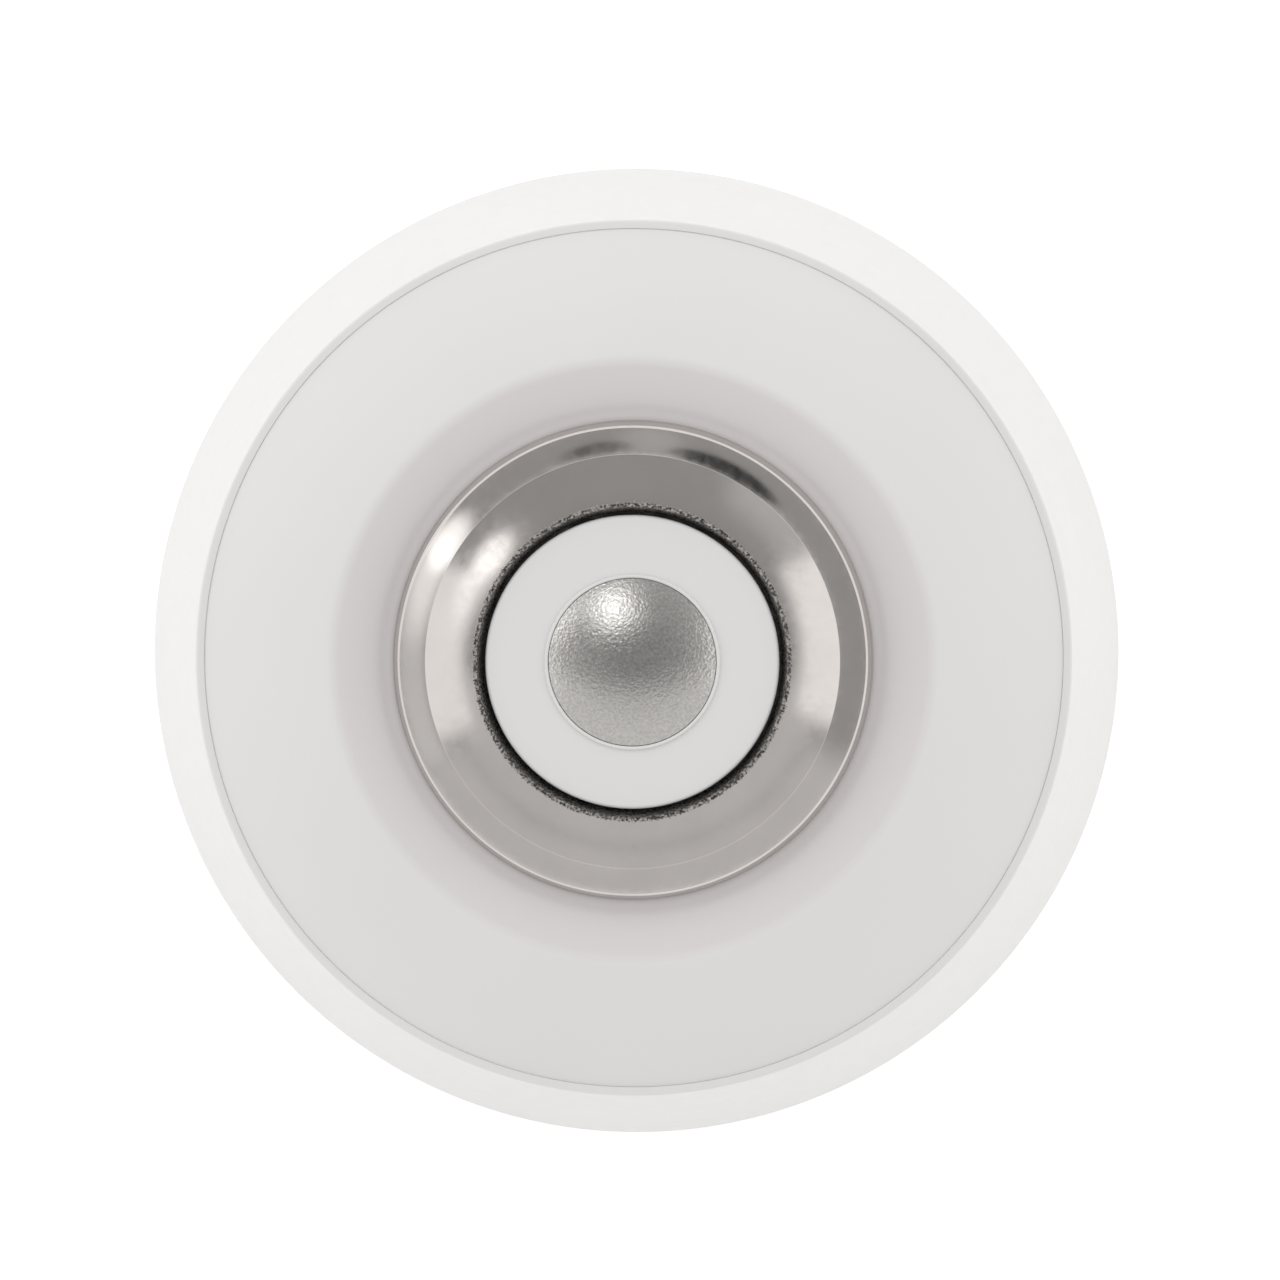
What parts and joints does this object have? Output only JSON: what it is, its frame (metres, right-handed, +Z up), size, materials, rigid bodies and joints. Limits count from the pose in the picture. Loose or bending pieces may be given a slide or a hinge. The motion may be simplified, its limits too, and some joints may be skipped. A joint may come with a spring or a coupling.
{
  "type": "security tag detacher",
  "caption": "Round countertop detacher: a plated seat ring and sprung centre plunger over ring magnets, in a moulded skirt and crown, for releasing security tags.",
  "frame": {"origin": "centre of the underside, on the surface that the part rests on", "axes": "+Z up along the axis of the puck; X and Y are horizontal, and the four base screws lie at 45 degrees to them"},
  "size_m": [0.1, 0.1, 0.0337],
  "materials": {
    "foot_rubber": "matt black moulded rubber",
    "zinc_plate": "zinc-plated steel sheet",
    "screw_steel": "zinc-plated screw",
    "skirt_white": "satin white ABS",
    "crown_grey": "satin pale grey ABS",
    "insert_brass": "turned brass",
    "magnet_plating": "nickel-plated magnet",
    "yoke_steel": "turned mild steel",
    "centring_plastic": "dark moulded nylon",
    "bearing_bronze": "sintered bronze",
    "seat_nickel": "satin nickel plating on turned steel",
    "gasket_rubber": "matt black rubber",
    "nut_steel": "turned steel",
    "cap_white": "satin white acetal",
    "dome_steel": "satin steel with a fine dimpled surface",
    "stem_steel": "ground stainless steel",
    "spring_steel": "bare spring steel"
  },
  "bodies": {
    "housing": {"foot_ring": "foot_rubber", "base_plate": "zinc_plate", "base_screw_1": "screw_steel", "base_screw_2": "screw_steel", "base_screw_3": "screw_steel", "base_screw_4": "screw_steel", "yoke_screw_1": "screw_steel", "yoke_screw_2": "screw_steel", "yoke_screw_3": "screw_steel", "skirt": "skirt_white", "crown": "crown_grey", "insert_1": "insert_brass", "insert_2": "insert_brass", "insert_3": "insert_brass", "insert_4": "insert_brass", "yoke_cup": "yoke_steel", "pole_washer": "yoke_steel", "ring_magnet_lower": "magnet_plating", "ring_magnet_upper": "magnet_plating", "magnet_centring_ring": "centring_plastic", "guide_sleeve": "bearing_bronze", "stem_bush": "bearing_bronze", "seat_ring": "seat_nickel", "seat_gasket": "gasket_rubber", "clamp_nut": "nut_steel", "return_spring": "spring_steel"},
    "plunger": {"plunger_cap": "cap_white", "plunger_dome": "dome_steel", "centre_magnet": "magnet_plating", "plunger_stem": "stem_steel", "stop_washer": "stem_steel", "retaining_clip": "spring_steel"}
  },
  "joints": [
    {"name": "plunger_press", "type": "slide", "parent": "housing", "child": "plunger", "axis": [0, 0, -1], "range_m": [0, 0.004], "stiffness_N_per_m": 400, "springref_m": -0.005, "deforming": ["return_spring"]}
  ]
}
